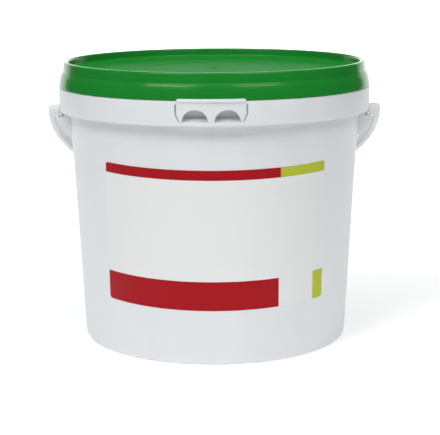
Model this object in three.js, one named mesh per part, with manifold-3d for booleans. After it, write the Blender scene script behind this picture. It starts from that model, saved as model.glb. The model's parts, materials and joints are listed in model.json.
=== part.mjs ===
// A round plastic pail with a press-on lid, a swinging bail handle,
// a tear-off tamper tab in its skirt band and two paper labels on its front.
// Millimetres, +Z up, front toward -Y, the origin under the middle of the foot.

import * as THREE from "three";
import Module from "manifold-3d";
import { mergeVertices } from "three/addons/utils/BufferGeometryUtils.js";

const wasm = await Module();
wasm.setup();

// Roundness of everything turned about the pail's axis.
const SEGMENTS = 72;

// Tapered wall: outer radius = WALL_FOOT_R + TAPER * z.
const WALL_FOOT_R = 96.5;
const TAPER = 0.053;
const WALL = 1.3;
const BASE_RISE = 3;
const BASE = 1.6;
const FOOT_IN_R = 89.5;
const FOOT_OUT_R = 94;

// Skirt band that hangs outside the wall and carries ears and tamper tab.
const BAND_R = 113;
const BAND_LOW = 167.7;
const BAND_TOP = 184.4;
const BAND = 1.6;

// Rim that stands inside the lid's channel, with a snap ring on its outside.
const RIM_OUT_R = 108.2;
const RIM_IN_R = 106.9;
const RIM_TOP = 200.8;
const SNAP_R = 109.6;
const FLARE_LOW = 182.6;
const FLARE_TOP = 185.6;

// Lid: top bead, channel walls, shoulder and flared skirt.
const LID_TOP = 202.65;
const LID_LOW = 184.75;
const LID_SKIN = 1.2;
const LID_PLUG_R = 105.4;
const PANEL_TOP = 197;
const PANEL_STEP_R = 96;

// Tamper tab: half-moon finger holes, side slits and a raised lip.
const TAB_TURN = THREE.MathUtils.degToRad(-1.06);
const TAB_HALF = 22.9;
const HOLE_R = 8.7;
const HOLE_LOW = 170.3;
const HOLE_X = 10.95;
const SLIT_X = 23.9;
const SLIT_W = 1.1;
const LIP_R = 114.4;
const LIP_LOW = 182.9;
const LIP_TOP = 186;

// Handle ears: a bored boss on two webs at each end of the X axis.
const PIVOT_Z = 166;
const BOSS_R = 4.4;
const BORE_R = 2.7;
const BORE_END = 106.7;
const WEB = 1.4;
const WEB_LOW = 145;

// Space kept between the wall and the band's shoulder, ears and webs.
const GAP = 0.35;

// Bail handle: straight legs, a half circle, hubs, pins and a wider grip.
const HOOP_R = 119.6;
const LEG = 9.8;
const STRAP_T = 4;
const STRAP_W = 8;
const GRIP_W = 10;
const GRIP_ARC = 0.62;
const EDGE = 1.6;
const HOLLOW = 0.9;
const HUB_R = 4.2;
const HUB_IN = 113.6;
const PIN_R = 2.4;
const PIN_END = 107;
const REST_TILT = THREE.MathUtils.degToRad(34.6);

// Labels, as flat sheets wrapped on the cone of the wall.
const LABEL_LEFT = -83.4;
const LABEL_RIGHT = 84.5;
const LABEL_LOW = 39.3;
const LABEL_TOP = 137.06;
const STICKER_LOW = 59.9;
const STICKER_TOP = 130.23;
const PAPER = 0.3;
const PAPER_GAP = 0.2;

const COLOURS = {
  pail: 0xdfe3e6,
  lid: 0x21842f,
  bail: 0xe4e6e7,
  label: 0xa81a24,
  sticker: 0xececec,
};

const wallR = (z) => WALL_FOOT_R + TAPER * z;

// Turns a closed geometry into a solid for cutting and joining.
function solid(geometry) {
  const bare = geometry.clone();
  bare.deleteAttribute("normal");
  bare.deleteAttribute("uv");
  const merged = mergeVertices(bare, 1e-4);
  const mesh = new wasm.Mesh({
    numProp: 3,
    vertProperties: new Float32Array(merged.attributes.position.array),
    triVerts: new Uint32Array(merged.index.array),
  });
  return new wasm.Manifold(mesh);
}

// Turns a solid back into a geometry.
function geometryOf(body) {
  const mesh = body.getMesh();
  const geometry = new THREE.BufferGeometry();
  const position = new THREE.BufferAttribute(mesh.vertProperties, 3);
  geometry.setAttribute("position", position);
  geometry.setIndex(new THREE.BufferAttribute(mesh.triVerts, 1));
  geometry.computeVertexNormals();
  return geometry;
}

// A body turned about +Z from (radius, height) pairs.
function turned(profile) {
  const points = profile.map(([r, z]) => new THREE.Vector2(r, z));
  return new THREE.LatheGeometry(points, SEGMENTS).rotateX(Math.PI / 2);
}

// A flat outline in (x, z), pushed along Y from yNear to yFar.
function pushedAlongY(shape, yNear, yFar) {
  const depth = yFar - yNear;
  const geometry = new THREE.ExtrudeGeometry(shape, {
    depth,
    bevelEnabled: false,
    curveSegments: 12,
  });
  return geometry.rotateX(Math.PI / 2).translate(0, yFar, 0);
}

// A round bar along X between two places.
function barAlongX(radius, x0, x1, z, sides = 24) {
  const bar = new THREE.CylinderGeometry(radius, radius, x1 - x0, sides);
  return bar.rotateZ(Math.PI / 2).translate((x0 + x1) / 2, 0, z);
}

function polygon(points) {
  return new THREE.Shape(points.map(([x, y]) => new THREE.Vector2(x, y)));
}

// Cup of the pail: foot, wall, rim with its snap ring, inside, base.
function pailCup() {
  const base = BASE_RISE + BASE;
  return turned([
    [0, BASE_RISE],
    [FOOT_IN_R - 2, BASE_RISE],
    [FOOT_IN_R, 0],
    [FOOT_OUT_R, 0],
    [FOOT_OUT_R + 1.7, 0.9],
    [wallR(3), 3],
    [wallR(FLARE_LOW), FLARE_LOW],
    [RIM_OUT_R, FLARE_TOP],
    [RIM_OUT_R, 190],
    [SNAP_R, 190.8],
    [SNAP_R, 191.8],
    [RIM_OUT_R, 193],
    [RIM_OUT_R, RIM_TOP - 0.4],
    [RIM_OUT_R - 0.4, RIM_TOP],
    [RIM_IN_R + 0.4, RIM_TOP],
    [RIM_IN_R, RIM_TOP - 0.4],
    [RIM_IN_R, FLARE_TOP + 0.6],
    [wallR(FLARE_LOW) - WALL, FLARE_LOW + 0.4],
    [wallR(8) - WALL, 8],
    [wallR(5) - WALL - 2.2, base + 0.5],
    [wallR(5) - WALL - 5, base],
    [0, base],
  ]);
}

// Shoulder and skirt band, turned as one closed ring.
function bandRing() {
  const under = BAND_TOP - BAND;
  const flare = (RIM_OUT_R - wallR(FLARE_LOW)) / (FLARE_TOP - FLARE_LOW);
  const clear = (z) => wallR(FLARE_LOW) + flare * (z - FLARE_LOW) + GAP + 0.1;
  const inner = BAND_R - BAND;
  return turned([
    [clear(under), under],
    [inner, under],
    [inner, BAND_LOW + 0.3],
    [inner + 0.3, BAND_LOW],
    [BAND_R - 0.3, BAND_LOW],
    [BAND_R, BAND_LOW + 0.3],
    [BAND_R, BAND_TOP - 0.3],
    [BAND_R - 0.3, BAND_TOP],
    [clear(BAND_TOP), BAND_TOP],
    [clear(under), under],
  ]);
}

// Boss and webs of the ear at +X.
function earAtX() {
  const inside = wallR(PIVOT_Z) + GAP;
  let ear = solid(barAlongX(BOSS_R, inside, BAND_R, PIVOT_Z));
  const outline = polygon([
    [wallR(WEB_LOW) + GAP, WEB_LOW],
    [BAND_R, PIVOT_Z - 5],
    [BAND_R, PIVOT_Z],
    [inside, PIVOT_Z],
  ]);
  for (const y of [-BOSS_R + 0.2, BOSS_R - 0.2 - WEB]) {
    ear = ear.add(solid(pushedAlongY(outline, y, y + WEB)));
  }
  const bore = barAlongX(BORE_R, BORE_END, BAND_R + 2, PIVOT_Z);
  return { ear, bore: solid(bore) };
}

// Cutters of the tamper tab: two half moons and two bent slits.
function tabCutters() {
  const near = -118;
  const far = -107.6;
  const cutters = [];
  for (const side of [-1, 1]) {
    const moon = new THREE.Shape();
    moon.moveTo(side * HOLE_X + HOLE_R, HOLE_LOW);
    moon.absarc(side * HOLE_X, HOLE_LOW, HOLE_R, 0, Math.PI, false);
    moon.closePath();
    cutters.push(solid(pushedAlongY(moon, near, far)));
    const a = side * (SLIT_X - SLIT_W / 2);
    const b = side * (SLIT_X + SLIT_W / 2);
    const slant = side * 2.6;
    const bent = [
      [a, 182.2],
      [b, 182.2],
      [b, 175.2],
      [b - slant, 170.8],
      [a - slant, 170.8],
      [a, 175.2],
    ];
    const slit = polygon(side > 0 ? bent.reverse() : bent);
    cutters.push(solid(pushedAlongY(slit, near, far)));
  }
  return cutters;
}

// A curved bar at the front between two radii and two heights.
function frontBar(rIn, rOut, half, z0, z1) {
  const angle = half / BAND_R;
  const front = -Math.PI / 2;
  const shape = new THREE.Shape();
  shape.absarc(0, 0, rOut, front - angle, front + angle, false);
  shape.absarc(0, 0, rIn, front + angle, front - angle, true);
  shape.closePath();
  const bar = new THREE.ExtrudeGeometry(shape, {
    depth: z1 - z0,
    bevelEnabled: false,
    curveSegments: 16,
  });
  return solid(bar.translate(0, 0, z0));
}

// Band with its ears, bores, tab openings and lip.
function skirtBand() {
  let body = solid(bandRing());
  const { ear, bore } = earAtX();
  for (const turn of [0, 180]) {
    body = body.add(ear.rotate([0, 0, turn]));
    body = body.subtract(bore.rotate([0, 0, turn]));
  }
  const tabTurn = THREE.MathUtils.radToDeg(TAB_TURN);
  for (const cutter of tabCutters()) {
    body = body.subtract(cutter.rotate([0, 0, tabTurn]));
  }
  const foot = frontBar(BAND_R - 1, LIP_R, TAB_HALF, LIP_LOW, BAND_TOP);
  const lip = frontBar(
    BAND_R + 0.4,
    LIP_R,
    TAB_HALF - 0.8,
    BAND_TOP - 0.5,
    LIP_TOP,
  );
  body = body.add(foot.add(lip).rotate([0, 0, tabTurn]));
  return geometryOf(body);
}

// Lid: stepped panel, channel over the rim, shoulder and flared skirt.
function lidBody() {
  const under = PANEL_TOP - LID_SKIN;
  const plug = LID_PLUG_R + LID_SKIN;
  const roof = LID_TOP - 1.5;
  return turned([
    [0, under - 0.6],
    [PANEL_STEP_R - 0.8, under - 0.6],
    [PANEL_STEP_R, under],
    [plug, under],
    [plug, roof],
    [RIM_OUT_R + 0.3, roof],
    [RIM_OUT_R + 0.3, 195.2],
    [BAND_R - 3, 193.6],
    [BAND_R - 2.2, 190.2],
    [RIM_OUT_R + 0.8, 188.6],
    [RIM_OUT_R + 0.8, 187.6],
    [BAND_R - 1.3, 186.4],
    [BAND_R - 1.1, LID_LOW],
    [BAND_R - 0.2, LID_LOW],
    [BAND_R, LID_LOW + 0.3],
    [BAND_R - 0.15, 188.6],
    [BAND_R - 0.9, 192.6],
    [BAND_R - 1.7, 194.7],
    [BAND_R - 2.3, 195.6],
    [BAND_R - 3.2, 196.2],
    [BAND_R - 3.7, 201.2],
    [BAND_R - 4.2, 202.2],
    [BAND_R - 5.2, LID_TOP],
    [LID_PLUG_R + 1.4, LID_TOP],
    [LID_PLUG_R + 0.5, 202.1],
    [LID_PLUG_R, 201],
    [LID_PLUG_R - 0.3, PANEL_TOP + 0.6],
    [LID_PLUG_R - 0.9, PANEL_TOP],
    [PANEL_STEP_R + 0.4, PANEL_TOP],
    [PANEL_STEP_R - 0.4, PANEL_TOP - 0.6],
    [0, PANEL_TOP - 0.6],
  ]);
}

// Strap section with a shallow hollow outside: x across, y outward.
function strap(width) {
  const t = STRAP_T / 2;
  const w = width / 2;
  return polygon([
    [-w, -t],
    [w, -t],
    [w, t],
    [w - EDGE, t],
    [w - EDGE - 0.6, t - HOLLOW],
    [-w + EDGE + 0.6, t - HOLLOW],
    [-w + EDGE, t],
    [-w, t],
  ]);
}

// The flat path of the hoop, from one leg round to the other.
function hoopPath() {
  const path = new THREE.CurvePath();
  const at = (x, y) => new THREE.Vector3(x, y, 0);
  path.add(new THREE.LineCurve3(at(-HOOP_R, 0), at(-HOOP_R, LEG)));
  path.add(bowPath(Math.PI));
  path.add(new THREE.LineCurve3(at(HOOP_R, LEG), at(HOOP_R, 0)));
  return path;
}

// The middle part of the bow, opened by an angle.
function bowPath(opening) {
  class Bow extends THREE.Curve {
    getPoint(t, target = new THREE.Vector3()) {
      const a = Math.PI / 2 + opening / 2 - t * opening;
      const x = HOOP_R * Math.cos(a);
      return target.set(x, LEG + HOOP_R * Math.sin(a), 0);
    }
  }
  return new Bow();
}

function bailHandle() {
  const sweep = (shape, path, steps) =>
    solid(
      new THREE.ExtrudeGeometry(shape, {
        steps,
        bevelEnabled: false,
        extrudePath: path,
      }),
    );
  let body = sweep(strap(STRAP_W), hoopPath(), 56);
  body = body.add(sweep(strap(GRIP_W), bowPath(GRIP_ARC), 12));
  const out = HOOP_R + STRAP_T / 2;
  for (const turn of [0, 180]) {
    const hub = solid(barAlongX(HUB_R, HUB_IN, out, 0));
    const pin = solid(barAlongX(PIN_R, PIN_END, HUB_IN + 1, 0));
    body = body.add(hub.add(pin).rotate([0, 0, turn]));
  }
  const geometry = geometryOf(body);
  geometry.rotateX(-REST_TILT);
  return geometry.translate(0, 0, PIVOT_Z);
}

// Lays a flat sheet point on the cone: s along, z up the middle, lift out.
function onCone(s, z, lift) {
  const r0 = wallR(z);
  const slope = Math.atan(TAPER);
  const reach = r0 / Math.sin(slope);
  const rho = Math.hypot(reach, s);
  const turn = Math.atan2(s, reach) / Math.sin(slope);
  const r = rho * Math.sin(slope) + lift;
  const up = z + (rho - reach) * Math.cos(slope);
  return [r * Math.sin(turn), -r * Math.cos(turn), up];
}

// A paper sheet of even thickness lying on the wall.
function sheet(low, top, lift) {
  const wide = LABEL_RIGHT - LABEL_LEFT;
  const box = new THREE.BoxGeometry(wide, top - low, PAPER, 40, 4, 1);
  const position = box.attributes.position;
  for (let i = 0; i < position.count; i++) {
    const s = position.getX(i) + (LABEL_LEFT + LABEL_RIGHT) / 2;
    const z = position.getY(i) + (low + top) / 2;
    const out = lift + PAPER / 2 + position.getZ(i);
    position.setXYZ(i, ...onCone(s, z, out));
  }
  return box;
}

function mesh(name, geometry, color, roughness) {
  const material = new THREE.MeshStandardMaterial({
    color,
    roughness,
    metalness: 0,
  });
  const made = new THREE.Mesh(geometry, material);
  made.name = name;
  return made;
}

const label = sheet(LABEL_LOW, LABEL_TOP, PAPER_GAP);
const stickerLift = 2 * PAPER_GAP + PAPER;
const sticker = sheet(STICKER_LOW, STICKER_TOP, stickerLift);

const part = new THREE.Group();
part.name = "lidded_pail";
part.add(
  mesh("pail_body", pailCup(), COLOURS.pail, 0.4),
  mesh("skirt_band", skirtBand(), COLOURS.pail, 0.4),
  mesh("lid", lidBody(), COLOURS.lid, 0.35),
  mesh("bail_handle", bailHandle(), COLOURS.bail, 0.4),
  mesh("label", label, COLOURS.label, 0.5),
  mesh("content_sticker", sticker, COLOURS.sticker, 0.5),
);

export default part;
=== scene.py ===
# %% [markdown]
# A lidded plastic pail, dressed for a picture
#
# The object is a round, tapered food pail: a white moulded body with a skirt band round its top, a
# green lid pressed over the rim, a white bail handle that hangs behind, and two paper sheets stuck
# on the front. A solid model already fixes every size and place, so this lesson only replaces each
# plain solid by a finer surface in the same frame: metres, +Z up, the front toward -Y, the origin
# under the pail's axis.

# %% Load the frame and keep its box
import json
import math

import bmesh
import bpy
from mathutils import Matrix, Vector

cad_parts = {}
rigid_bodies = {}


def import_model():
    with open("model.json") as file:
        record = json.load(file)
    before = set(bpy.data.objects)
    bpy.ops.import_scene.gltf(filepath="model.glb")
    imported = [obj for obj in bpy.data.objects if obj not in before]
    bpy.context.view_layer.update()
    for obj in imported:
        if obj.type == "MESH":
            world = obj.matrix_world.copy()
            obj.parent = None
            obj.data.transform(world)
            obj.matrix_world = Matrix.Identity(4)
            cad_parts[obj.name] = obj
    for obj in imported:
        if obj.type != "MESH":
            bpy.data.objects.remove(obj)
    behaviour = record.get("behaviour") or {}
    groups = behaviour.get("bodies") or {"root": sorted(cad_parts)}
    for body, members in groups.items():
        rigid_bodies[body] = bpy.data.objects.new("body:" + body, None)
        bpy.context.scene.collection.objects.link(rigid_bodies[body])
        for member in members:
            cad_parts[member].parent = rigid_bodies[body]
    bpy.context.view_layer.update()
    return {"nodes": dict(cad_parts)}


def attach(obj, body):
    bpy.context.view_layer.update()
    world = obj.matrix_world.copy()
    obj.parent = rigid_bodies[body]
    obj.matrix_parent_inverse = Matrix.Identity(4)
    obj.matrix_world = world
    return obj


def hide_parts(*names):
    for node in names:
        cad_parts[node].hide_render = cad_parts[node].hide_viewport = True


for leftover in list(bpy.data.objects):
    bpy.data.objects.remove(leftover)
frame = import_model()
MM = 0.001
print("nodes to dress:", sorted(frame["nodes"]))

# %% [markdown]
# The camera
#
# The viewpoint was found by fitting the pail's circles to the picture: a long lens about a metre
# away, just above the lid, tipped down by some eleven degrees. The optical axis isn't quite in the
# middle of the frame, so the lens is shifted by those few pixels and not turned. The camera also
# leans by a third of a degree.

# %% Camera
IMAGE_WIDE, IMAGE_HIGH = 440, 435
FOCAL_PIXELS = 1403.94
AXIS_PIXEL = (215.0, 223.77)
SENSOR_MM = 36.0
CAMERA_PLACE = (0.0, -1.02644, 0.28626)
TIP_DOWN = math.radians(11.343)
ROLL = math.radians(-0.33)

lens = bpy.data.cameras.new("studio camera")
lens.sensor_width = SENSOR_MM
lens.lens = FOCAL_PIXELS / IMAGE_WIDE * SENSOR_MM
lens.shift_x = (IMAGE_WIDE / 2 - AXIS_PIXEL[0]) / IMAGE_WIDE
lens.shift_y = (AXIS_PIXEL[1] - IMAGE_HIGH / 2) / IMAGE_WIDE
camera = bpy.data.objects.new("studio camera", lens)
aim = Matrix.Rotation(math.pi / 2 - TIP_DOWN, 4, "X") @ Matrix.Rotation(ROLL, 4, "Z")
camera.matrix_world = Matrix.Translation(CAMERA_PLACE) @ aim
bpy.context.collection.objects.link(camera)
bpy.context.scene.camera = camera
print(f"lens {lens.lens:.1f} mm")

# %% [markdown]
# Colours and nodes
#
# Colours are written as the hex values that a screen shows, and one function turns them into the
# linear numbers that a shader works with. One more small function adds a node with its settings
# and its links, so that a material reads as a short list of what feeds what.


# %% Colour and node helpers
def linear(hex_colour):
    """Turn an sRGB hex colour into linear numbers."""
    parts = [int(hex_colour[i : i + 2], 16) / 255 for i in (1, 3, 5)]
    curve = [p / 12.92 if p <= 0.04045 else ((p + 0.055) / 1.055) ** 2.4 for p in parts]
    return (*curve, 1.0)


def add(tree, kind, inputs=None, **settings):
    """Add one node; an input is a plain value or the socket that feeds it."""
    node = tree.nodes.new(kind)
    for name, value in settings.items():
        setattr(node, name, value)
    for name, value in (inputs or {}).items():
        if isinstance(value, bpy.types.NodeSocket):
            tree.links.new(value, node.inputs[name])
        else:
            node.inputs[name].default_value = value
    return node


def new_material(name):
    """Make an empty node material and return it with its tree."""
    material = bpy.data.materials.new(name)
    material.use_nodes = True
    material.node_tree.nodes.clear()
    return material, material.node_tree


def per_metre(size_mm):
    """Texture scale that gives a pattern of this size."""
    return 1000.0 / size_mm


print("mid grey is", [round(c, 3) for c in linear("#808080")[:3]])

# %% [markdown]
# Moulded polypropylene
#
# Pail, lid and handle are injection-moulded polypropylene. The eye sees a waxy, half-gloss skin:
# highlights are soft, the colour is almost even, and faint streaks run the way the melt flowed, up
# the wall. A noise that is stretched along Z gives these streaks to colour and gloss, and a finer
# noise gives the slight orange peel. The lid's panel is grained and doesn't mirror the backdrop as
# its polished bead does, so the sheen ends inside a radius.


# %% Moulded plastic
STREAK_WIDE_MM = 26.0
STREAK_LONG_MM = 190.0
PEEL_MM = 1.6  # the real texture is finer; this coarse, it still shows in the picture
PEEL_DEEP_MM = 0.03
PANEL_R = 105.0
PANEL_FADE = 0.6
PANEL_SHINE, BEAD_SHINE = 0.0002, 0.17


def moulded_plastic(name, shade, light, dull, glossy, peel, shine):
    """Half-gloss moulded plastic with flow streaks and a faint peel."""
    material, tree = new_material(name)
    place = add(tree, "ShaderNodeTexCoord")
    stretch = add(
        tree,
        "ShaderNodeMapping",
        {
            "Vector": place.outputs["Object"],
            "Scale": (1.0, 1.0, STREAK_WIDE_MM / STREAK_LONG_MM),
        },
    )
    streaks = add(
        tree,
        "ShaderNodeTexNoise",
        {
            "Vector": stretch.outputs["Vector"],
            "Scale": per_metre(STREAK_WIDE_MM),
            "Detail": 3.0,
            "Roughness": 0.45,
        },
    )
    tone = add(
        tree,
        "ShaderNodeMix",
        {
            "Factor": streaks.outputs["Fac"],
            "A": linear(shade),
            "B": linear(light),
        },
        data_type="RGBA",
    )
    gloss = add(
        tree,
        "ShaderNodeMapRange",
        {
            "Value": streaks.outputs["Fac"],
            "From Min": 0.3,
            "From Max": 0.7,
            "To Min": glossy,
            "To Max": dull,
        },
    )
    grain = add(
        tree,
        "ShaderNodeTexNoise",
        {
            "Vector": place.outputs["Object"],
            "Scale": per_metre(PEEL_MM),
            "Detail": 2.0,
        },
    )
    bump = add(
        tree,
        "ShaderNodeBump",
        {
            "Height": grain.outputs["Fac"],
            "Strength": peel,
            "Distance": PEEL_DEEP_MM * MM,
        },
    )
    skin = add(
        tree,
        "ShaderNodeBsdfPrincipled",
        {
            "Base Color": tone.outputs["Result"],
            "Roughness": gloss.outputs["Result"],
            "Normal": bump.outputs["Normal"],
            "IOR": 1.49,
            "Specular IOR Level": shine,
        },
    )
    add(tree, "ShaderNodeOutputMaterial", {"Surface": skin.outputs["BSDF"]})
    return material


white_plastic = moulded_plastic(
    "white polypropylene, moulded",
    shade="#DCE0E3",
    light="#E6E9EB",
    dull=0.46,
    glossy=0.36,
    peel=0.35,
    shine=0.5,
)
# The strap, hubs and grip ribs use a lighter copy of the pail's white: painted light that
# brightens the strap's shaded faces.
strap_plastic_lightened = moulded_plastic(
    "white polypropylene, strap lightened as painted light",
    shade="#E2E5E7",
    light="#ECEEEF",
    dull=0.48,
    glossy=0.38,
    peel=0.35,
    shine=0.5,
)
green_plastic = moulded_plastic(
    "green polypropylene, moulded",
    shade="#197A2A",
    light="#1F842E",
    dull=0.22,
    glossy=0.16,
    peel=0.3,
    shine=BEAD_SHINE,
)
tree = green_plastic.node_tree
place = add(tree, "ShaderNodeTexCoord")
level = add(
    tree,
    "ShaderNodeVectorMath",
    {0: place.outputs["Object"], 1: (1.0, 1.0, 0.0)},
    operation="MULTIPLY",
)
from_axis = add(
    tree,
    "ShaderNodeVectorMath",
    {0: level.outputs["Vector"]},
    operation="LENGTH",
)
sheen = add(
    tree,
    "ShaderNodeMapRange",
    {
        "Value": from_axis.outputs["Value"],
        "From Min": (PANEL_R - PANEL_FADE) * MM,
        "From Max": PANEL_R * MM,
        "To Min": PANEL_SHINE,
        "To Max": BEAD_SHINE,
    },
)
skin = next(node for node in tree.nodes if node.type == "BSDF_PRINCIPLED")
tree.links.new(sheen.outputs["Result"], skin.inputs["Specular IOR Level"])
print("plastics:", white_plastic.name, "/", green_plastic.name)

# %% [markdown]
# Turned shapes
#
# A moulded pail is a body of revolution, so its section is drawn once as a list of corners, each
# with the radius that the mould maker rounds it by, and carried round the axis. Blender's Screw
# modifier could do that too; a few lines of mesh code keep the seam and the poles closed and the
# faces turned outwards.


# %% Section and turning helpers
def rounded(corners, closed=False, steps=5):
    """Round each corner (x, y, radius) of an outline by a short arc."""
    outline = []
    count = len(corners)
    for i, (x, y, radius) in enumerate(corners):
        here = Vector((x, y))
        if radius == 0 or (not closed and i in (0, count - 1)):
            outline.append(here)
            continue
        back = Vector(corners[i - 1][:2]) - here
        on = Vector(corners[(i + 1) % count][:2]) - here
        half = back.angle(on) / 2
        reach = min(radius / math.tan(half), 0.48 * back.length, 0.48 * on.length)
        middle = (back.normalized() + on.normalized()).normalized()
        centre = here + middle * reach / math.cos(half)
        start = here + back.normalized() * reach - centre
        end = here + on.normalized() * reach - centre
        sweep = start.angle_signed(end)
        for k in range(steps + 1):
            a = -sweep * k / steps
            turn = Matrix.Rotation(a, 2)
            outline.append(centre + turn @ start)
    return outline


def link_mesh(name, mesh, material):
    """Put a mesh in the scene as an object with one material."""
    mesh.materials.clear()
    mesh.materials.append(material)
    piece = bpy.data.objects.new(name, mesh)
    bpy.context.collection.objects.link(piece)
    return piece


def link_form(name, form, material):
    """Turn a mesh in the making into an object in the scene."""
    mesh = bpy.data.meshes.new(name)
    form.to_mesh(mesh)
    form.free()
    return link_mesh(name, mesh, material)


def turned(name, outline, sides, material):
    """Turn an outline of (radius, height) in mm about +Z into a closed mesh."""
    shell = bmesh.new()
    rings = []
    for r, z in outline:
        if r < 1e-6:
            rings.append([shell.verts.new((0, 0, z * MM))])
            continue
        ring = []
        for i in range(sides):
            a = 2 * math.pi * i / sides
            spot = Vector((r * math.sin(a), -r * math.cos(a), z))
            ring.append(shell.verts.new(spot * MM))
        rings.append(ring)
    for low, high in zip(rings, rings[1:]):
        for i in range(sides):
            j = (i + 1) % sides
            corners = [low[i % len(low)], low[j % len(low)]]
            corners += [high[j % len(high)], high[i % len(high)]]
            shell.faces.new(list(dict.fromkeys(corners)))
    return link_form(name, shell, material)


def smooth(piece, sharp_degrees=32):
    """Shade smoothly, but keep edges crisp past an angle."""
    mesh = piece.data
    mesh.polygons.foreach_set("use_smooth", [True] * len(mesh.polygons))
    mesh.set_sharp_from_angle(angle=math.radians(sharp_degrees))
    mesh.update()


# %% [markdown]
# The pail's shell
#
# The wall leans out by about three degrees so that pails nest. Near the top a flat shoulder
# carries the skirt band, which hangs free of the wall, and the rim goes on upward inside the lid.
# The base is raised so that the pail stands on a ring.

# %% Pail shell
SIDES = 288
WALL_FOOT_R = 96.5
TAPER = 0.053
WALL = 1.3
BAND_R = 113.0
BAND = 1.6
BAND_LOW = 167.7
BAND_TOP = 184.4


def wall_r(z):
    """Outer radius of the tapered wall at a height, in mm."""
    return WALL_FOOT_R + TAPER * z


pail_corners = [
    (0, 3.0, 0),
    (40.0, 3.0, 0.5),
    (40.6, 2.4, 0.5),
    (42.4, 2.4, 0.5),
    (43.0, 3.0, 0.5),
    (87.6, 3.0, 1.2),
    (89.4, 0.0, 0.7),
    (WALL_FOOT_R, 0.0, 3.2),
    (wall_r(182.8), 182.8, 1.0),
    (BAND_R - BAND, 182.8, 0.9),
    (BAND_R - BAND, BAND_LOW, 0.5),
    (BAND_R, BAND_LOW, 0.6),
    (BAND_R, BAND_TOP, 0.6),
    (108.2, BAND_TOP, 0.4),
    (108.2, 190.0, 0.4),
    (109.6, 190.8, 0.4),
    (109.6, 191.8, 0.4),
    (108.2, 193.0, 0.4),
    (108.2, 200.8, 0.5),
    (106.9, 200.8, 0.5),
    (106.9, 188.0, 1.0),
    (wall_r(184) - WALL, 183.4, 1.0),
    (wall_r(4.6) - WALL, 4.6, 4.0),
    (0, 4.6, 0),
]
pail = turned("pail_shell", rounded(pail_corners), SIDES, white_plastic)
print("pail shell faces:", len(pail.data.polygons))

# %% [markdown]
# The tamper tab
#
# A short length of the band tears away before the lid can come off. Two half moons take the
# fingertips, two bent slits leave only thin bridges, and a lip stands over the lid's edge. The
# openings are cut with Boolean tools that follow the band's curve and widen at its face, so every
# cut edge has the small chamfer of a moulded part. Behind the holes a scooped floor rises to the
# wall: it catches light in front and is dark at the back.


# %% Cutting helpers
def join_or_cut(target, tool, operation):
    """Apply one Boolean to a piece and throw the tool away."""
    step = target.modifiers.new("mould", "BOOLEAN")
    step.operation = operation
    step.solver = "EXACT"
    step.object = tool
    bpy.context.view_layer.update()
    graph = bpy.context.evaluated_depsgraph_get()
    mesh = bpy.data.meshes.new_from_object(target.evaluated_get(graph))
    target.modifiers.clear()
    old = target.data
    target.data = mesh
    mesh.name = old.name
    bpy.data.objects.remove(tool)
    bpy.data.meshes.remove(old)


TAB_TURN = math.radians(-1.06)


def on_band(s, z, r):
    """Place a point by its run along the band, height and radius."""
    a = TAB_TURN + s / BAND_R
    return Vector((r * math.sin(a), -r * math.cos(a), z)) * MM


def grown(outline, by):
    """Offset a closed outline outwards, point by point."""
    count = len(outline)
    moved = []
    for i, p in enumerate(outline):
        along = outline[(i + 1) % count] - outline[i - 1]
        if along.length < 1e-9:
            along = Vector((1, 0))
        moved.append(p + Vector((along.y, -along.x)).normalized() * by)
    return moved


def lofted(name, rings, material, split_caps=True):
    """Close a row of equal rings of points into a capped mesh."""
    form = bmesh.new()
    made = [[form.verts.new(p) for p in ring] for ring in rings]
    for a, b in zip(made, made[1:]):
        for i in range(len(a)):
            j = (i + 1) % len(a)
            form.faces.new((a[i], a[j], b[j], b[i]))
    caps = [form.faces.new(made[0]), form.faces.new(made[-1])]
    if split_caps:
        bmesh.ops.triangulate(form, faces=caps)
    bmesh.ops.recalc_face_normals(form, faces=form.faces)
    return link_form(name, form, material)


def band_tool(name, outline, layers):
    """Loft an outline in (s, z) through layers of (radius, growth)."""
    rings = [[on_band(p.x, p.y, r) for p in grown(outline, by)] for r, by in layers]
    return lofted(name, rings, white_plastic)


# %% Finger holes and slits
HOLE_R = 8.7
HOLE_HIGH = 8.3
HOLE_LOW = 170.3
HOLE_X = 10.95
HOLE_CORNER = 0.5
HOLE_STEPS = 24
SLIT_X = 23.9
SLIT_W = 1.1
SLIT_SLANT = 2.6
SLIT_LOW, SLIT_BEND, SLIT_TOP = 170.8, 175.2, 182.2
SLIT_CORNER = 0.4
CHAMFER = 0.35
TOOL_IN, TOOL_OUT, SKIN = 108.4, 117.0, 0.05
THROUGH = [
    (TOOL_IN, 0.0),
    (BAND_R - CHAMFER, 0.0),
    (BAND_R + SKIN, CHAMFER),
    (TOOL_OUT, CHAMFER),
]
SCORE = [(BAND_R - 0.4, -0.1), (BAND_R + SKIN, 0.1), (TOOL_OUT, 0.1)]
SCORE_LOW, SCORE_TOP = 170.05, 170.45
SCORE_RUNS = [(-21.2, -19.4), (-2.6, 2.6), (19.4, 21.2)]


def half_moon(side):
    """Outline of a finger hole with small round corners."""
    corners = []
    for k in range(HOLE_STEPS + 1):
        a = math.pi * k / HOLE_STEPS
        s = side * HOLE_X + HOLE_R * math.cos(a)
        z = HOLE_LOW + HOLE_HIGH * math.sin(a)
        corners.append((s, z, HOLE_CORNER if k in (0, HOLE_STEPS) else 0))
    return rounded(corners, closed=True, steps=3)


def bent_slit(side):
    """Outline of a side slit: straight, then leaning inwards."""
    half = SLIT_W / 2
    foot = SLIT_X - SLIT_SLANT
    points = [
        (foot - half, SLIT_LOW),
        (foot + half, SLIT_LOW),
        (SLIT_X + half, SLIT_BEND),
        (SLIT_X + half, SLIT_TOP),
        (SLIT_X - half, SLIT_TOP),
        (SLIT_X - half, SLIT_BEND),
    ]
    if side < 0:
        points = [(-s, z) for s, z in reversed(points)]
    return rounded([(s, z, SLIT_CORNER) for s, z in points], closed=True, steps=3)


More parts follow.
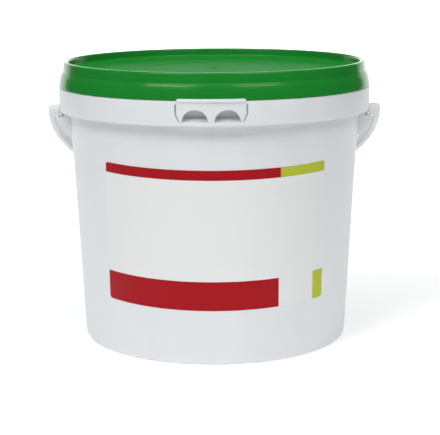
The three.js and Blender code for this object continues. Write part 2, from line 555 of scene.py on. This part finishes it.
for side in (-1, 1):
    join_or_cut(pail, band_tool("moon", half_moon(side), THROUGH), "DIFFERENCE")
    join_or_cut(pail, band_tool("slit", bent_slit(side), THROUGH), "DIFFERENCE")

# %% Scooped floor and score lines
SCOOP_HALF = 20.6
SCOOP_DEEP, SCOOP_RISE = 6.3, 3.5
SCOOP_STEPS = 6
scoop = [(104.9, 168.9), (112.2, 168.9), (112.2, 170.2)]
for k in range(SCOOP_STEPS + 1):
    rise = SCOOP_RISE * (k / SCOOP_STEPS) ** 1.2
    scoop.append((111.2 - SCOOP_DEEP * k / SCOOP_STEPS, HOLE_LOW + rise))
scoop_runs = [SCOOP_HALF * k / 10 for k in range(-10, 11)]
scoop_rings = [[on_band(s, z, r) for r, z in scoop] for s in scoop_runs]
join_or_cut(pail, lofted("scoop", scoop_rings, white_plastic), "UNION")
for left, right in SCORE_RUNS:
    low_edge = [(left, SCORE_LOW, 0), (right, SCORE_LOW, 0)]
    top_edge = [(right, SCORE_TOP, 0), (left, SCORE_TOP, 0)]
    tool = band_tool("score", rounded(low_edge + top_edge, closed=True), SCORE)
    join_or_cut(pail, tool, "DIFFERENCE")
print("pail faces with the tab cut:", len(pail.data.polygons))

# %% [markdown]
# Ears for the handle
#
# Under the band, at each end of the pivot line, a bored boss stands out from the wall on two webs.
# The webs reach out under the hub like brackets, so from the front they close the gap between wall
# and strap, and the rear one goes on up into the band. All of it comes from the same turning and
# lofting helpers, and the bore is cut last.

# %% Ears
PIVOT_Z = 166.0
BOSS_R = 4.4
BOSS_END = 110.2
BORE_R = 2.7
BORE_END = 106.7
BORE_PAST = BAND_R + 3
EAR_ROOT = wall_r(PIVOT_Z) - WALL / 2
EAR_SIDES = 40
WEB = 1.4
WEB_EDGE = 0.25
WEB_LOW = 145.4
WEB_Y = BOSS_R - 0.2 - WEB / 2


def lay_along_x(piece, side):
    """Turn a piece made about +Z to lie along +X or -X at the pivot."""
    turn = Matrix.Rotation(side * math.pi / 2, 4, "Y")
    piece.data.transform(Matrix.Translation((0, 0, PIVOT_Z * MM)) @ turn)
    return piece


def web_plate(name, side, y_mid):
    """A bracket web from the wall out to below the hub, with softened edges."""
    step, top = (BAND_R, BAND_LOW + 1) if y_mid > 0 else (BOSS_END - 0.4, PIVOT_Z)
    corners = [
        (wall_r(WEB_LOW) - 0.6, WEB_LOW, 0),
        (108.6, 149.4, 4.0),
        (112.8, 153.8, 6.0),
        (115.8, 160.4, 1.0),
        (115.2, 161.4, 0.5),
        (step, 161.7, 0.3),
        (step, top, 0),
        (EAR_ROOT, top, 0),
    ]
    outline = rounded(corners, closed=True)
    face = WEB / 2
    layers = [(-face, -WEB_EDGE), (WEB_EDGE - face, 0), (face - WEB_EDGE, 0), (face, -WEB_EDGE)]
    rings = []
    for y, by in layers:
        edge = grown(outline, by)
        rings.append([Vector((side * p.x, y_mid + y, p.y)) * MM for p in edge])
    return lofted(name, rings, white_plastic, split_caps=False)


boss_corners = [(0, EAR_ROOT, 0), (BOSS_R, EAR_ROOT, 0), (BOSS_R, BOSS_END, 0.5), (0, BOSS_END, 0)]
bore_corners = [(0, BORE_END, 0), (BORE_R, BORE_END, 0), (BORE_R, BORE_PAST, 0), (0, BORE_PAST, 0)]
for side in (-1, 1):
    boss = turned("boss", rounded(boss_corners), EAR_SIDES, white_plastic)
    join_or_cut(pail, lay_along_x(boss, side), "UNION")
    for y in (-WEB_Y, WEB_Y):
        join_or_cut(pail, web_plate("web", side, y), "UNION")
    bore = turned("bore", rounded(bore_corners), EAR_SIDES, white_plastic)
    join_or_cut(pail, lay_along_x(bore, side), "DIFFERENCE")
smooth(pail)
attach(pail, "pail")
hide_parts("pail_body", "skirt_band")
print("pail with ears, faces:", len(pail.data.polygons))

# %% [markdown]
# The lip of the tab
#
# The lip is a curved bar that stands a millimetre proud and overlaps the lid's edge, with round
# ends. One section is swept along the band and shrunk over the last millimetre or so at each end.

# %% Tab lip
LIP_HALF = 22.9
LIP_END = 1.3
LIP_END_STEPS, LIP_STEPS = 6, 32
LIP_LEAST = 0.12
lip_corners = [
    (112.4, 183.6, 0),
    (113.45, 183.5, 0.4),
    (113.95, 184.1, 0.4),
    (113.95, 186.0, 0.4),
    (113.4, 186.0, 0.2),
    (113.4, 184.4, 0.1),
    (112.4, 184.4, 0),
]
lip_section = rounded(lip_corners, closed=True)
lip_middle = Vector((113.4, 184.6))


def lip_stations():
    """Runs along the lip with the share of the section left there."""
    ends = []
    for k in range(LIP_END_STEPS + 1):
        ends.append(LIP_END * (1 - math.cos(math.pi / 2 * k / LIP_END_STEPS)))
    straight = LIP_HALF - LIP_END
    runs = [-LIP_HALF + e for e in ends]
    runs += [-straight + straight * k / (LIP_STEPS / 2) for k in range(1, LIP_STEPS)]
    runs += [LIP_HALF - e for e in reversed(ends)]
    for s in runs:
        gone = max(0.0, 1 - (LIP_HALF - abs(s)) / LIP_END)
        yield s, max(LIP_LEAST, math.sqrt(max(0.0, 1 - gone * gone)))


lip_rings = []
for s, share in lip_stations():
    section = [lip_middle + (p - lip_middle) * share for p in lip_section]
    lip_rings.append([on_band(s, p.y, p.x) for p in section])
lip = lofted("tab_lip", lip_rings, white_plastic)
smooth(lip, 40)
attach(lip, "pail")
print("lip rings:", len(lip_rings))

# %% [markdown]
# Ribs under the band
#
# Seen from below, the hollow between wall and band is stiffened by thin radial ribs. They repeat
# round a circle, so Geometry Nodes place them: one cube on each point of a circle, turned to face
# the axis, left out where the tab and the ears are. The result is made a plain mesh, because
# instances don't survive an export.

# %% Rib tree
RIB_COUNT = 36
RIB_IN_R = 105.4
RIB_OUT_R = 111.9
RIB_LOW = 172.5
RIB_TOP = 183.4
RIB_THICK = 1.0
RIB_CLEAR_Y = -100.0  # no ribs in front of this, where the tab is
RIB_CLEAR_X = 107.5  # and none beyond this to the sides, where the ears are


def node_tree(name, sizes):
    """Make a Geometry Nodes tree with named number inputs."""
    tree = bpy.data.node_groups.new(name, "GeometryNodeTree")
    face = tree.interface
    for label, kind in sizes:
        face.new_socket(label, in_out="INPUT", socket_type=kind)
    face.new_socket("Geometry", in_out="OUTPUT", socket_type="NodeSocketGeometry")
    return tree, add(tree, "NodeGroupInput")


def run_tree(name, tree, values, material):
    """Run a tree on an empty object and keep its result as a mesh piece."""
    carrier = bpy.data.objects.new(name + " carrier", bpy.data.meshes.new(name))
    bpy.context.collection.objects.link(carrier)
    step = carrier.modifiers.new(name, "NODES")
    step.node_group = tree
    for item in tree.interface.items_tree:
        if item.item_type == "SOCKET" and item.in_out == "INPUT":
            step[item.identifier] = values[item.name]
    bpy.context.view_layer.update()
    graph = bpy.context.evaluated_depsgraph_get()
    mesh = bpy.data.meshes.new_from_object(carrier.evaluated_get(graph))
    carrier.modifiers.clear()
    bpy.data.objects.remove(carrier)
    return link_mesh(name, mesh, material)


def plates_on(tree, points, size, **chosen):
    """Stand one plate on each point, turned to face the axis."""
    where = add(tree, "GeometryNodeInputPosition")
    outward = add(
        tree,
        "FunctionNodeAlignEulerToVector",
        {"Vector": where.outputs["Position"]},
        axis="X",
        pivot_axis="Z",
    )
    plate = add(tree, "GeometryNodeMeshCube", {"Size": size})
    copies = add(
        tree,
        "GeometryNodeInstanceOnPoints",
        {
            "Points": points,
            "Instance": plate.outputs["Mesh"],
            "Rotation": outward.outputs["Rotation"],
            **chosen,
        },
    )
    real = add(tree, "GeometryNodeRealizeInstances", {"Geometry": copies.outputs["Instances"]})
    return real.outputs["Geometry"]


def coat(tree, geometry, material):
    """End a tree with its material."""
    coated = add(tree, "GeometryNodeSetMaterial", {"Geometry": geometry, "Material": material})
    add(tree, "NodeGroupOutput", {"Geometry": coated.outputs["Geometry"]})


rib_sizes = [
    ("Count", "NodeSocketInt"),
    ("Ring radius", "NodeSocketFloat"),
    ("Rib size", "NodeSocketVector"),
    ("Height", "NodeSocketFloat"),
]
rib_tree, given = node_tree("ribs round a ring", rib_sizes)
ring = add(
    rib_tree,
    "GeometryNodeMeshCircle",
    {"Vertices": given.outputs["Count"], "Radius": given.outputs["Ring radius"]},
)
where = add(rib_tree, "GeometryNodeInputPosition")
apart = add(rib_tree, "ShaderNodeSeparateXYZ", {"Vector": where.outputs["Position"]})
across = add(rib_tree, "ShaderNodeMath", {0: apart.outputs["X"]}, operation="ABSOLUTE")
not_tab = add(
    rib_tree,
    "FunctionNodeCompare",
    {"A": apart.outputs["Y"], "B": RIB_CLEAR_Y * MM},
    operation="GREATER_THAN",
)
not_ear = add(
    rib_tree,
    "FunctionNodeCompare",
    {"A": across.outputs["Value"], "B": RIB_CLEAR_X * MM},
    operation="LESS_THAN",
)
wanted = add(
    rib_tree,
    "FunctionNodeBooleanMath",
    {0: not_tab.outputs["Result"], 1: not_ear.outputs["Result"]},
    operation="AND",
)
plates = plates_on(
    rib_tree,
    ring.outputs["Mesh"],
    given.outputs["Rib size"],
    Selection=wanted.outputs["Boolean"],
)
raise_by = add(rib_tree, "ShaderNodeCombineXYZ", {"Z": given.outputs["Height"]})
lifted = add(
    rib_tree,
    "GeometryNodeTransform",
    {"Geometry": plates, "Translation": raise_by.outputs["Vector"]},
)
coat(rib_tree, lifted.outputs["Geometry"], white_plastic)

# %% Band ribs
rib_values = {
    "Count": RIB_COUNT,
    "Ring radius": (RIB_IN_R + RIB_OUT_R) / 2 * MM,
    "Rib size": ((RIB_OUT_R - RIB_IN_R) * MM, RIB_THICK * MM, (RIB_TOP - RIB_LOW) * MM),
    "Height": (RIB_LOW + RIB_TOP) / 2 * MM,
}
ribs = run_tree("band_ribs", rib_tree, rib_values, white_plastic)
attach(ribs, "pail")
print("band ribs:", len(ribs.data.polygons) // 6)

# %% [markdown]
# The lid
#
# The lid is a second turned moulding: a sunk panel, a rounded bead over the rim, a short upright
# band, a shoulder and a slightly bulging skirt that ends flush with the band below. The rounded
# shoulder and bead matter most, because they hold the long highlights.

# %% Lid
lid_corners = [
    (0, 195.2, 0),
    (95.2, 195.2, 0.8),
    (96.0, 195.8, 0.8),
    (106.6, 195.8, 0.3),
    (106.6, 201.15, 0.6),
    (108.5, 201.15, 0.6),
    (108.5, 195.2, 0.5),
    (110.0, 193.6, 0.8),
    (110.8, 190.2, 0.8),
    (109.0, 188.6, 0.4),
    (109.0, 187.6, 0.4),
    (111.7, 186.4, 0.5),
    (111.9, 184.5, 0.2),
    (113.0, 184.5, 0.4),
    (112.85, 186.8, 6.0),
    (112.4, 189.6, 8.0),
    (111.9, 191.9, 5.0),
    (111.25, 193.7, 4.0),
    (110.45, 195.1, 1.6),
    (109.8, 195.7, 0.5),
    (109.35, 202.65, 1.5),
    (105.6, 202.65, 1.4),
    (105.2, 197.0, 1.1),
    (96.4, 197.0, 0.8),
    (95.6, 196.4, 0.8),
    (52.4, 196.4, 0.6),
    (51.8, 196.15, 0.6),
    (6.0, 196.15, 0.4),
    (5.4, 195.95, 0.3),
    (1.6, 195.95, 0.2),
    (1.4, 196.25, 0.15),
    (0, 196.3, 0),
]
lid = turned("lid_cap", rounded(lid_corners), SIDES, green_plastic)
smooth(lid)
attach(lid, "pail")
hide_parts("lid")
print("lid faces:", len(lid.data.polygons))

# %% [markdown]
# The bail handle
#
# The handle is a hoop of flat strap that hangs back and down and rests against the wall. Its
# inside is smooth and its outside has a shallow hollow, which saves plastic. The section is lofted
# along legs and bow, and it widens in the middle to a grip; the hubs and pins at the ends are
# turned.

# %% Hoop of the handle
HOOP_R = 119.6
LEG = 9.8
STRAP_T = 4.0
STRAP_W = 8.0
GRIP_W = 10.0
GRIP_HALF = 0.31
GRIP_EASE = 0.05
EDGE = 1.6
EDGE_SLOPE = 0.6
HOLLOW = 0.9
LEG_PAST = 2.0
BEND_R, BEND_RUN = 3.0, 2.2
BOW_STEPS, LEG_STEPS = 160, 9
REST_TILT = math.radians(34.6)
to_rest = Matrix.Translation((0, 0, PIVOT_Z * MM)) @ Matrix.Rotation(-REST_TILT, 4, "X")


def strap_section(width):
    """Section of the strap: x outward, y across the hoop."""
    t, w = STRAP_T / 2, width / 2
    corners = [
        (-t, -w, 0.9),
        (t, -w, 0.6),
        (t, -w + EDGE, 0.4),
        (t - HOLLOW, -w + EDGE + EDGE_SLOPE, 0.5),
        (t - HOLLOW, w - EDGE - EDGE_SLOPE, 0.5),
        (t, w - EDGE, 0.4),
        (t, w, 0.6),
        (-t, w, 0.9),
    ]
    return rounded(corners, closed=True, steps=4)


def strap_width(from_middle):
    """Width across the hoop at an angle from the middle of the bow."""
    x = (GRIP_HALF + GRIP_EASE - abs(from_middle)) / (2 * GRIP_EASE)
    x = min(1.0, max(0.0, x))
    return STRAP_W + (GRIP_W - STRAP_W) * x * x * (3 - 2 * x)


def leg_pull(run):
    """How far the end of a leg bends in to the pivot, in mm."""
    bent = max(0.0, BEND_RUN - run)
    return BEND_R - math.sqrt(max(0.0, BEND_R**2 - bent**2))


def hoop_station(k):
    """Middle of the strap, its outward direction and its width at one step."""
    beyond = max(-k, k - BOW_STEPS)
    if beyond > 0:
        end = -1 if k < 0 else 1
        run = LEG * (LEG_STEPS - beyond) / LEG_STEPS - LEG_PAST * beyond / LEG_STEPS
        place = Vector((end * (HOOP_R - leg_pull(run)), run, 0))
        return place, Vector((end, 0, 0)), STRAP_W
    a = math.pi - math.pi * k / BOW_STEPS
    out = Vector((math.cos(a), math.sin(a), 0))
    return out * HOOP_R + Vector((0, LEG, 0)), out, strap_width(a - math.pi / 2)


hoop_rings = []
for k in range(-LEG_STEPS, BOW_STEPS + LEG_STEPS + 1):
    place, out, width = hoop_station(k)
    section = strap_section(width)
    hoop_rings.append([(place + out * p.x + Vector((0, 0, p.y))) * MM for p in section])
bail = lofted("bail_strap", hoop_rings, strap_plastic_lightened)
bail.data.transform(to_rest)
print("strap rings:", len(hoop_rings))

# %% Hubs and pins
HUB_R = 4.2
HUB_IN = 113.4
HUB_OUT = HOOP_R + STRAP_T / 2
PIN_R = 2.4
PIN_END = 107.0
HUB_SIDES = 48
hub_corners = [
    (0, PIN_END, 0),
    (PIN_R, PIN_END, 0.6),
    (PIN_R, HUB_IN, 0.2),
    (HUB_R, HUB_IN, 0.25),
    (HUB_R, HUB_OUT - 0.1, 2.9),
    (0, HUB_OUT, 0),
]
for side in (-1, 1):
    hub = turned("hub", rounded(hub_corners), HUB_SIDES, strap_plastic_lightened)
    join_or_cut(bail, lay_along_x(hub, side), "UNION")
smooth(bail, 38)
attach(bail, "bail")
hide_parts("bail_handle")
print("handle faces:", len(bail.data.polygons))

# %% [markdown]
# Cross ribs in the grip
#
# In the hollow of the grip, small ridges tie the two edges together and keep the strap from
# slipping in the hand. They follow the bow at an even pitch, so a curve is resampled and carries
# one ridge on each point.

# %% Grip ribs
GRIP_RIBS = 11
GRIP_RIB_T = 1.2
GRIP_RIB_SUNK = 0.1
GRIP_RIB_SPAN = 0.28
grip_sizes = [
    ("Count", "NodeSocketInt"),
    ("Bow radius", "NodeSocketFloat"),
    ("Half opening", "NodeSocketFloat"),
    ("Plate", "NodeSocketVector"),
]
grip_tree, given = node_tree("plates along a bow", grip_sizes)
begin = add(
    grip_tree,
    "ShaderNodeMath",
    {0: math.pi / 2, 1: given.outputs["Half opening"]},
    operation="SUBTRACT",
)
opening = add(
    grip_tree,
    "ShaderNodeMath",
    {0: given.outputs["Half opening"], 1: 2.0},
    operation="MULTIPLY",
)
bow = add(
    grip_tree,
    "GeometryNodeCurveArc",
    {
        "Resolution": 96,
        "Radius": given.outputs["Bow radius"],
        "Start Angle": begin.outputs["Value"],
        "Sweep Angle": opening.outputs["Value"],
    },
    mode="RADIUS",
)
beads = add(
    grip_tree,
    "GeometryNodeResampleCurve",
    {"Curve": bow.outputs["Curve"], "Count": given.outputs["Count"]},
)
plates = plates_on(grip_tree, beads.outputs["Curve"], given.outputs["Plate"])
coat(grip_tree, plates, strap_plastic_lightened)
grip_values = {
    "Count": GRIP_RIBS,
    "Bow radius": (HOOP_R + STRAP_T / 2 - HOLLOW / 2 - GRIP_RIB_SUNK) * MM,
    "Half opening": GRIP_RIB_SPAN,
    "Plate": (HOLLOW * MM, GRIP_RIB_T * MM, (GRIP_W - 2 * EDGE) * MM),
}
grip_ribs = run_tree("grip_ribs", grip_tree, grip_values, strap_plastic_lightened)
grip_ribs.data.transform(to_rest @ Matrix.Translation((0, LEG * MM, 0)))
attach(grip_ribs, "bail")
print("grip ribs:", len(grip_ribs.data.polygons) // 6)

# %% [markdown]
# Printed paper
#
# The label is coated paper: white stock, flat ink and a thin varnish. It has a faint fibre mottle
# and a soft sheen. The stripes are drawn by comparing the sheet's own UV map with their edges,
# where one UV unit is 100 mm of paper, so the print follows the sheet wherever it goes.

# %% Label materials
SHEET_UNIT = 100.0
FIBRE_MM = 0.9
COCKLE_MM = 14.0
COCKLE_DEEP_MM = 0.1
INK_RED, INK_LIME, PAPER_WHITE = "#A60714", "#B7C434", "#E7E9E9"


def paper_skin(tree, colour, gloss):
    """Finish a paper material: fibre mottle, soft varnish, slight cockle."""
    place = add(tree, "ShaderNodeTexCoord")
    fibre = add(
        tree,
        "ShaderNodeTexNoise",
        {"Vector": place.outputs["Object"], "Scale": per_metre(FIBRE_MM), "Detail": 3.0},
    )
    mottle = add(
        tree,
        "ShaderNodeMapRange",
        {"Value": fibre.outputs["Fac"], "To Min": 0.955, "To Max": 1.03},
    )
    toned = add(
        tree,
        "ShaderNodeVectorMath",
        {0: colour, "Scale": mottle.outputs["Result"]},
        operation="SCALE",
    )
    cockle = add(
        tree,
        "ShaderNodeTexNoise",
        {"Vector": place.outputs["Object"], "Scale": per_metre(COCKLE_MM), "Detail": 1.0},
    )
    bump = add(
        tree,
        "ShaderNodeBump",
        {
            "Height": cockle.outputs["Fac"],
            "Strength": 0.25,
            "Distance": COCKLE_DEEP_MM * MM,
        },
    )
    skin = add(
        tree,
        "ShaderNodeBsdfPrincipled",
        {
            "Base Color": toned.outputs["Vector"],
            "Roughness": gloss,
            "Normal": bump.outputs["Normal"],
            "IOR": 1.46,
            "Specular IOR Level": 0.18,
        },
    )
    add(tree, "ShaderNodeOutputMaterial", {"Surface": skin.outputs["BSDF"]})


def past(tree, value, edge):
    """1 where a coordinate is past an edge given in mm."""
    return add(
        tree,
        "ShaderNodeMath",
        {0: value, 1: edge / SHEET_UNIT},
        operation="GREATER_THAN",
    ).outputs["Value"]


def inked(tree, where, under, over):
    """Lay one ink over another where a mask is 1."""
    mix = add(
        tree,
        "ShaderNodeMix",
        {"Factor": where, "A": under, "B": over},
        data_type="RGBA",
    )
    return mix.outputs["Result"]


STRIPE_TOP_LOW = 130.23
STRIPE_LOW_TOP = 59.9
UPPER_LIME_FROM = 46.0
LOWER_RED_TO, LOWER_LIME_FROM = 45.0, 74.4
label_paper, tree = new_material("coated paper, printed stripes")
sheet_map = add(tree, "ShaderNodeUVMap", uv_map="sheet")
run = add(tree, "ShaderNodeSeparateXYZ", {"Vector": sheet_map.outputs["UV"]})
along, up = run.outputs["X"], run.outputs["Y"]
upper = inked(tree, past(tree, along, UPPER_LIME_FROM), linear(INK_RED), linear(INK_LIME))
lower = inked(tree, past(tree, along, LOWER_RED_TO), linear(INK_RED), linear(PAPER_WHITE))
lower = inked(tree, past(tree, along, LOWER_LIME_FROM), lower, linear(INK_LIME))
print_low = inked(tree, past(tree, up, STRIPE_LOW_TOP), lower, linear(PAPER_WHITE))
print_all = inked(tree, past(tree, up, STRIPE_TOP_LOW), print_low, upper)
paper_skin(tree, print_all, 0.42)

sticker_paper, tree = new_material("coated paper, bare white")
paper_skin(tree, linear(PAPER_WHITE)[:3], 0.45)
print("papers:", label_paper.name, "/", sticker_paper.name)

# %% [markdown]
# Sheets wrapped on a cone
#
# A straight strip of paper that is laid on a cone doesn't keep level edges: it curves up at its
# ends, as the stripes of this label do. Unrolling the cone gives the rule: a point of the flat
# sheet keeps its distance along straight lines of the unrolled fan, and the fan is rolled back on
# the wall.


# %% Wrapped sheets
CORNER_STEPS = 4
PITCH_ALONG, PITCH_UP = 2.0, 4.0


def on_cone(s, z, lift):
    """Roll a flat sheet's point onto the wall, all in mm."""
    lean = math.atan(TAPER)
    reach = wall_r(z) / math.sin(lean)
    rho = math.hypot(reach, s)
    turn = math.atan2(s, reach) / math.sin(lean)
    r = rho * math.sin(lean) + lift
    up = z + (rho - reach) * math.cos(lean)
    return Vector((r * math.sin(turn), -r * math.cos(turn), up)) * MM


def steps_between(low, high, corner, pitch):
    """Grid lines, closer together in the corners."""
    inner = max(2, round((high - low - 2 * corner) / pitch))
    edge = [corner * k / CORNER_STEPS for k in range(CORNER_STEPS)]
    lines = [low + e for e in edge]
    lines += [low + corner + (high - low - 2 * corner) * k / inner for k in range(inner + 1)]
    lines += [high - e for e in reversed(edge)]
    return lines


def corner_round(s, z, edges, corner):
    """Bend the grid of each corner square into a quarter disc."""
    left, right, low, top = edges
    middle_s = min(max(s, left + corner), right - corner)
    middle_z = min(max(z, low + corner), top - corner)
    u, v = (s - middle_s) / corner, (z - middle_z) / corner
    u, v = u * math.sqrt(1 - v * v / 2), v * math.sqrt(1 - u * u / 2)
    return middle_s + u * corner, middle_z + v * corner


def wrapped_sheet(name, edges, corner, lift, thick, material):
    """A thin closed sheet of paper with round corners on the wall."""
    left, right, low, top = edges
    columns = steps_between(left, right, corner, PITCH_ALONG)
    rows = steps_between(low, top, corner, PITCH_UP)
    paper = bmesh.new()
    uv = paper.loops.layers.uv.new("sheet")
    flat = {}
    layers = []
    for out in (lift, lift + thick):
        grid = []
        for z in rows:
            line = []
            for s in columns:
                sr, zr = corner_round(s, z, edges, corner)
                vert = paper.verts.new(on_cone(sr, zr, out))
                flat[vert] = (sr / SHEET_UNIT, zr / SHEET_UNIT)
                line.append(vert)
            grid.append(line)
        layers.append(grid)
    under, over = layers
    for grid, flip in ((under, True), (over, False)):
        for a, b in zip(grid, grid[1:]):
            for i in range(len(a) - 1):
                quad = [a[i], a[i + 1], b[i + 1], b[i]]
                paper.faces.new(quad[::-1] if flip else quad)

    def border(grid):
        loop = grid[0] + [line[-1] for line in grid[1:]]
        loop += grid[-1][-2::-1] + [line[0] for line in grid[-2:0:-1]]
        return loop

    low_loop, high_loop = border(under), border(over)
    for i in range(len(low_loop)):
        j = (i + 1) % len(low_loop)
        paper.faces.new((low_loop[i], low_loop[j], high_loop[j], high_loop[i]))
    for face in paper.faces:
        for loop in face.loops:
            loop[uv].uv = flat[loop.vert]
    return link_form(name, paper, material)


# %% Label and sticker
SHEET_LEFT, SHEET_RIGHT = -83.4, 84.5
label = wrapped_sheet(
    "label_sheet",
    edges=(SHEET_LEFT, SHEET_RIGHT, 39.3, 137.06),
    corner=2.0,
    lift=0.04,
    thick=0.14,
    material=label_paper,
)
smooth(label)
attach(label, "pail")
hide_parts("label")
sticker = wrapped_sheet(
    "sticker_sheet",
    edges=(SHEET_LEFT, SHEET_RIGHT, STRIPE_LOW_TOP, STRIPE_TOP_LOW),
    corner=1.2,
    lift=0.2,
    thick=0.2,
    material=sticker_paper,
)
smooth(sticker)
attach(sticker, "pail")
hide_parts("content_sticker")
print("sheet faces:", len(label.data.polygons), len(sticker.data.polygons))

# %% [markdown]
# Floor, sweep and lights
#
# The picture has a white surround. One sheet that lies flat and then curves up behind the pail is
# floor and backdrop in one, as in a product studio. It glows more toward the back, where the lamps
# don't reach, and least in front of the pail, so that the band keeps the shadow under its edge. It
# is no wider than the picture needs, because the lid's bead and skirt mirror it at their ends.

# %% Floor and sweep
FLOOR_HALF, FLOOR_FRONT = 1.25, -4.0
SWEEP_STEPS = 24
SWEEP_START, SWEEP_R, SWEEP_TOP = 1.1, 0.2, 0.6


def studio_sweep(material):
    """A floor that turns up into a low backdrop, as one smooth strip."""
    line = [(FLOOR_FRONT, 0.0), (SWEEP_START, 0.0)]
    for k in range(1, SWEEP_STEPS + 1):
        a = math.pi / 2 * k / SWEEP_STEPS
        line.append((SWEEP_START + SWEEP_R * math.sin(a), SWEEP_R * (1 - math.cos(a))))
    line.append((SWEEP_START + SWEEP_R, SWEEP_TOP))
    verts, faces = [], []
    for y, z in line:
        verts += [(-FLOOR_HALF, y, z), (FLOOR_HALF, y, z)]
    for i in range(len(line) - 1):
        faces.append((2 * i, 2 * i + 1, 2 * i + 3, 2 * i + 2))
    mesh = bpy.data.meshes.new("studio_sweep")
    mesh.from_pydata(verts, [], faces)
    mesh.update()
    return link_mesh("studio_sweep", mesh, material)


paper_white, tree = new_material("seamless paper, white")
place = add(tree, "ShaderNodeTexCoord")
back = add(tree, "ShaderNodeSeparateXYZ", {"Vector": place.outputs["Object"]})
front = add(
    tree,
    "ShaderNodeMapRange",
    {
        "Value": back.outputs["Y"],
        "From Min": -0.5,
        "From Max": -0.2,
        "To Min": 0.14,
        "To Max": 0.33,
    },
)
glow = add(
    tree,
    "ShaderNodeMapRange",
    {
        "Value": back.outputs["Y"],
        "From Min": 0.1,
        "From Max": 1.0,
        "To Min": front.outputs["Result"],
        "To Max": 0.98,
    },
)
matte = add(
    tree,
    "ShaderNodeBsdfPrincipled",
    {
        "Base Color": linear("#F4F4F4"),
        "Roughness": 0.9,
        "Specular IOR Level": 0.1,
        "Emission Color": linear("#FFFFFF"),
        "Emission Strength": glow.outputs["Result"],
    },
)
add(tree, "ShaderNodeOutputMaterial", {"Surface": matte.outputs["BSDF"]})
sweep = studio_sweep(paper_white)
smooth(sweep)

# %% [markdown]
# Two softboxes in front give the paired highlights on the lid's bead and shoulder, the left one
# stronger. A wide box close above fills the panel and the floor.

# %% Softboxes
AIM_AT = Vector((0, 0, 0.12))


def softbox(name, azimuth, elevation, distance, size, power):
    """An area light that looks at the pail from a direction in degrees."""
    lamp = bpy.data.lights.new(name, "AREA")
    lamp.shape = "RECTANGLE"
    lamp.size, lamp.size_y = size
    lamp.energy = power
    box = bpy.data.objects.new(name, lamp)
    a, e = math.radians(azimuth), math.radians(elevation)
    way = Vector((math.sin(a) * math.cos(e), -math.cos(a) * math.cos(e), math.sin(e)))
    turn = way.to_track_quat("Z", "Y").to_matrix().to_4x4()
    box.matrix_world = Matrix.Translation(AIM_AT + way * distance) @ turn
    bpy.context.collection.objects.link(box)


softbox("left softbox", -38, 45, 1.5, (0.75, 0.5), 10.0)
softbox("right softbox", 37, 45, 1.5, (0.7, 0.5), 6.6)
softbox("top softbox", 0, 86, 0.75, (0.7, 0.7), 3.2)

# %% Room and view
surround = bpy.data.worlds.new("studio room")
bpy.context.scene.world = surround
surround.use_nodes = True
surround.node_tree.nodes.clear()
tree = surround.node_tree
room = add(tree, "ShaderNodeBackground", {"Color": linear("#F2F4F6"), "Strength": 0.08})
add(tree, "ShaderNodeOutputWorld", {"Surface": room.outputs["Background"]})
bpy.context.scene.view_settings.view_transform = "Standard"
bpy.context.scene.view_settings.look = "None"
